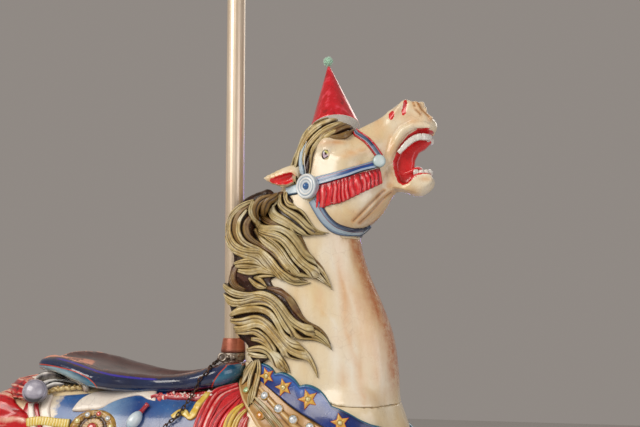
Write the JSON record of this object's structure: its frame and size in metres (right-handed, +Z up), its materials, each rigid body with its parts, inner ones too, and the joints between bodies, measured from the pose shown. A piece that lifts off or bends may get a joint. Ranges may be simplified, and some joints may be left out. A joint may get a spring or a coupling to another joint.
{
  "type": "carousel jumping horse on pole",
  "caption": "Carved and painted carousel jumping horse fixed to a vertical brass-cased pole that slides up and down in a floor sleeve.",
  "frame": {"origin": "centre of the floor flange's underside, on the pole's axis", "axes": "+Z up along the pole, +X the way the horse faces, +Y the horse's left side"},
  "size_m": [1.3256, 0.424, 2.364],
  "materials": {
    "body_paint": "cream paint shaded with tan under aged gloss varnish, on carved wood",
    "hair_paint": "dull antique gold paint rubbed over dark brown grooves, on carved wood",
    "hoof_paint": "dark brown gloss paint on carved wood",
    "saddle_paint": "navy and teal gloss paint with a dark maroon seat, on carved wood",
    "cloth_paint": "red, blue, yellow and white gloss paint on carved wood",
    "collar_paint": "royal blue gloss paint with a teal edge and gold stars, on carved wood",
    "bridle_paint": "light blue-grey gloss paint with dark blue and red lines, on carved wood",
    "fringe_paint": "red gloss paint with pale streaks, on carved wood",
    "teeth_paint": "off-white gloss paint on carved wood",
    "mouth_paint": "bright red gloss paint on carved wood",
    "eye_glass": "glass, painted behind: a dark brown outline round pale lavender, with yellow above",
    "pole_brass": "polished, pale and slightly tarnished",
    "collar_copper": "copper coloured, worn",
    "ring_steel": "worn nickel plate",
    "chain_steel": "dull, tarnished and a little rusty",
    "sleeve_steel": "turned, lightly oiled",
    "bush_brass": "turned",
    "floor_iron": "black paint, worn",
    "hat_card": "red foil-faced card, white inside",
    "pompom_tinsel": "matte mint green tinsel tuft"
  },
  "bodies": {
    "floor": {"floor_flange": "floor_iron", "guide_sleeve": "sleeve_steel", "sleeve_bush": "bush_brass"},
    "horse": {"pole": "pole_brass", "pole_cap": "ring_steel", "pole_collar": "collar_copper", "pole_base_ring": "ring_steel", "eye_bolt": "chain_steel", "safety_chain": "chain_steel", "foot_rest": "floor_iron", "trunk": "body_paint", "neck": "body_paint", "head": "body_paint", "lower_jaw": "body_paint", "upper_teeth": "teeth_paint", "lower_teeth": "teeth_paint", "tongue": "mouth_paint", "eye_right": "eye_glass", "eye_left": "eye_glass", "ear_right": "body_paint", "ear_left": "body_paint", "mane_right": "hair_paint", "mane_left": "hair_paint", "forelock": "hair_paint", "tail": "hair_paint", "foreleg_right": "body_paint", "forehoof_right": "hoof_paint", "foreleg_left": "body_paint", "forehoof_left": "hoof_paint", "hindleg_right": "body_paint", "hindhoof_right": "hoof_paint", "hindleg_left": "body_paint", "hindhoof_left": "hoof_paint", "saddle": "saddle_paint", "saddle_flap_right": "saddle_paint", "saddle_flap_left": "saddle_paint", "saddle_cloth_right": "cloth_paint", "saddle_cloth_left": "cloth_paint", "blanket_roll": "cloth_paint", "breast_collar": "collar_paint", "cheek_strap_right": "bridle_paint", "cheek_strap_left": "bridle_paint", "fringe_right": "fringe_paint", "fringe_left": "fringe_paint", "noseband": "bridle_paint", "throat_strap": "bridle_paint", "rosette_right": "bridle_paint", "rosette_left": "bridle_paint", "bit_button_right": "bridle_paint", "bit_button_left": "bridle_paint", "party_hat": "hat_card", "hat_pompom": "pompom_tinsel"}
  },
  "joints": [
    {"name": "jump", "type": "slide", "parent": "floor", "child": "horse", "axis": [0, 0, 1], "range_m": [0, 0.25]}
  ]
}
